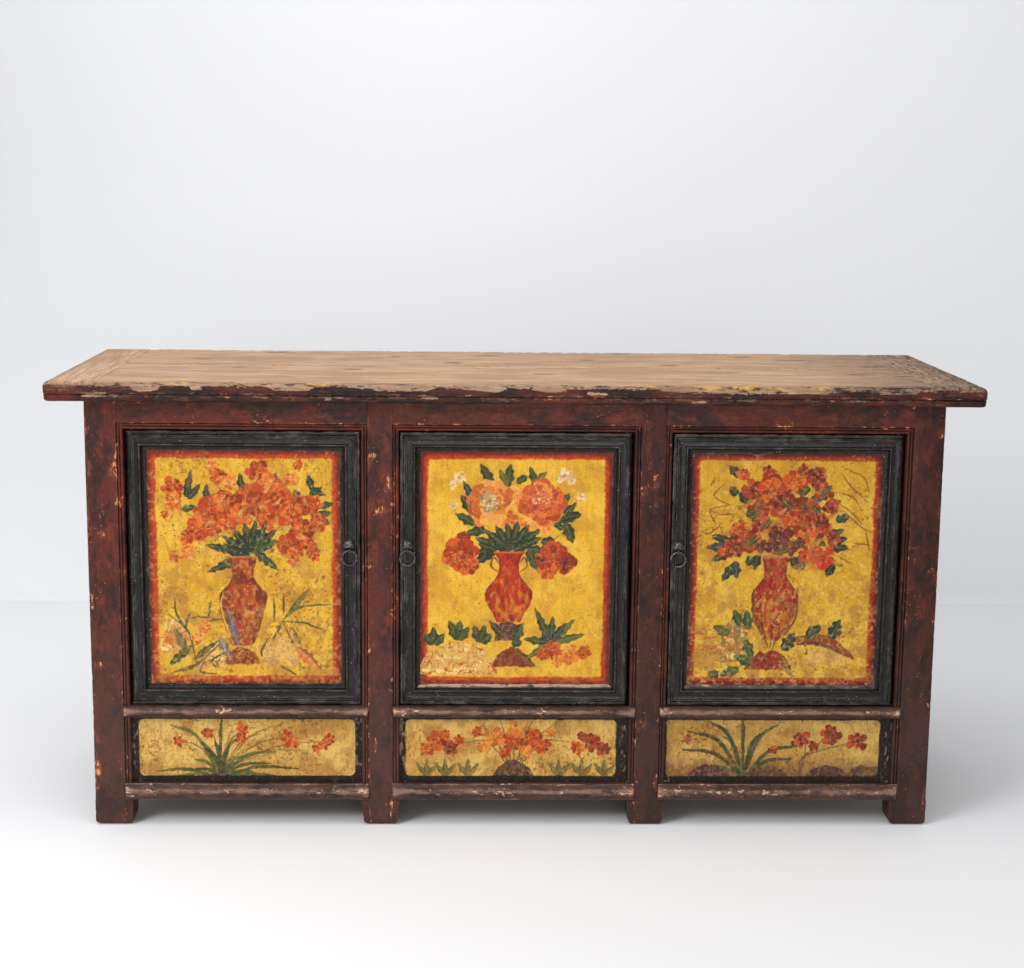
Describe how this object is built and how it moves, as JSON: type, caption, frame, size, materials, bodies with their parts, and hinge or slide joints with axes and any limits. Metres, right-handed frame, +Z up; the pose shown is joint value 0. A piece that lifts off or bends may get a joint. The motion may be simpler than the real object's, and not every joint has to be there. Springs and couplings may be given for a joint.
{
  "type": "painted sideboard",
  "caption": "Low painted wooden sideboard: frame-and-panel carcass on post feet, pivot-hung doors with ring pulls, fixed lower panels, overhanging board top.",
  "frame": {"origin": "on the floor under the middle of the top", "axes": "+Z up, +X to the right along the length, +Y to the back; the doors face -Y"},
  "size_m": [1.8, 0.612, 0.893],
  "materials": {
    "bare_top": "bare worn",
    "red_lacquer": "worn lacquer",
    "black_lacquer": "satin lacquer",
    "door_panel_paint": "painted and varnished",
    "lower_panel_paint": "painted and varnished",
    "plain_wood": "unfinished",
    "iron": "dark forged"
  },
  "bodies": {
    "carcass": {"top_plank_front": "bare_top", "top_plank_back": "bare_top", "top_end_left": "bare_top", "top_end_right": "bare_top", "post_front_left": "red_lacquer", "post_front_mid_left": "red_lacquer", "post_front_mid_right": "red_lacquer", "post_front_right": "red_lacquer", "post_back_left": "red_lacquer", "post_back_mid_left": "red_lacquer", "post_back_mid_right": "red_lacquer", "post_back_right": "red_lacquer", "rail_top_left": "red_lacquer", "rail_top_centre": "red_lacquer", "rail_top_right": "red_lacquer", "rail_mid_left": "red_lacquer", "rail_mid_centre": "red_lacquer", "rail_mid_right": "red_lacquer", "rail_bottom_left": "red_lacquer", "rail_bottom_centre": "red_lacquer", "rail_bottom_right": "red_lacquer", "lower_panel_left": "lower_panel_paint", "lower_panel_centre": "lower_panel_paint", "lower_panel_right": "lower_panel_paint", "side_rail_top_left": "red_lacquer", "side_rail_top_right": "red_lacquer", "side_rail_bottom_left": "red_lacquer", "side_rail_bottom_right": "red_lacquer", "side_panel_left": "red_lacquer", "side_panel_right": "red_lacquer", "back_rails_top": "plain_wood", "back_rails_bottom": "plain_wood", "back_panel_left": "plain_wood", "back_panel_centre": "plain_wood", "back_panel_right": "plain_wood", "floor_boards": "plain_wood"},
    "door_left": {"door_left_hinge_stile": "black_lacquer", "door_left_lock_stile": "black_lacquer", "door_left_rail_top": "black_lacquer", "door_left_rail_bottom": "black_lacquer", "door_left_panel": "door_panel_paint", "pull_boss_left": "iron", "pull_staple_left": "iron"},
    "ring_left": {"pull_ring_left": "iron"},
    "door_centre": {"door_centre_hinge_stile": "black_lacquer", "door_centre_lock_stile": "black_lacquer", "door_centre_rail_top": "black_lacquer", "door_centre_rail_bottom": "black_lacquer", "door_centre_panel": "door_panel_paint", "pull_boss_centre": "iron", "pull_staple_centre": "iron"},
    "ring_centre": {"pull_ring_centre": "iron"},
    "door_right": {"door_right_hinge_stile": "black_lacquer", "door_right_lock_stile": "black_lacquer", "door_right_rail_top": "black_lacquer", "door_right_rail_bottom": "black_lacquer", "door_right_panel": "door_panel_paint", "pull_boss_right": "iron", "pull_staple_right": "iron"},
    "ring_right": {"pull_ring_right": "iron"}
  },
  "joints": [
    {"name": "door_left_hinge", "type": "hinge", "parent": "carcass", "child": "door_left", "pos_m": [-0.744, -0.245, 0.522], "axis": [0, 0, -1], "range_deg": [0, 95]},
    {"name": "ring_left_swing", "type": "hinge", "parent": "door_left", "child": "ring_left", "pos_m": [-0.325, -0.2615, 0.561], "axis": [-1, 0, 0], "range_deg": [0, 115]},
    {"name": "door_centre_hinge", "type": "hinge", "parent": "carcass", "child": "door_centre", "pos_m": [0.214, -0.245, 0.522], "axis": [0, 0, 1], "range_deg": [0, 95]},
    {"name": "ring_centre_swing", "type": "hinge", "parent": "door_centre", "child": "ring_centre", "pos_m": [-0.212, -0.2615, 0.561], "axis": [-1, 0, 0], "range_deg": [0, 115]},
    {"name": "door_right_hinge", "type": "hinge", "parent": "carcass", "child": "door_right", "pos_m": [0.744, -0.245, 0.522], "axis": [0, 0, 1], "range_deg": [0, 95]},
    {"name": "ring_right_swing", "type": "hinge", "parent": "door_right", "child": "ring_right", "pos_m": [0.318, -0.2615, 0.561], "axis": [-1, 0, 0], "range_deg": [0, 115]}
  ]
}
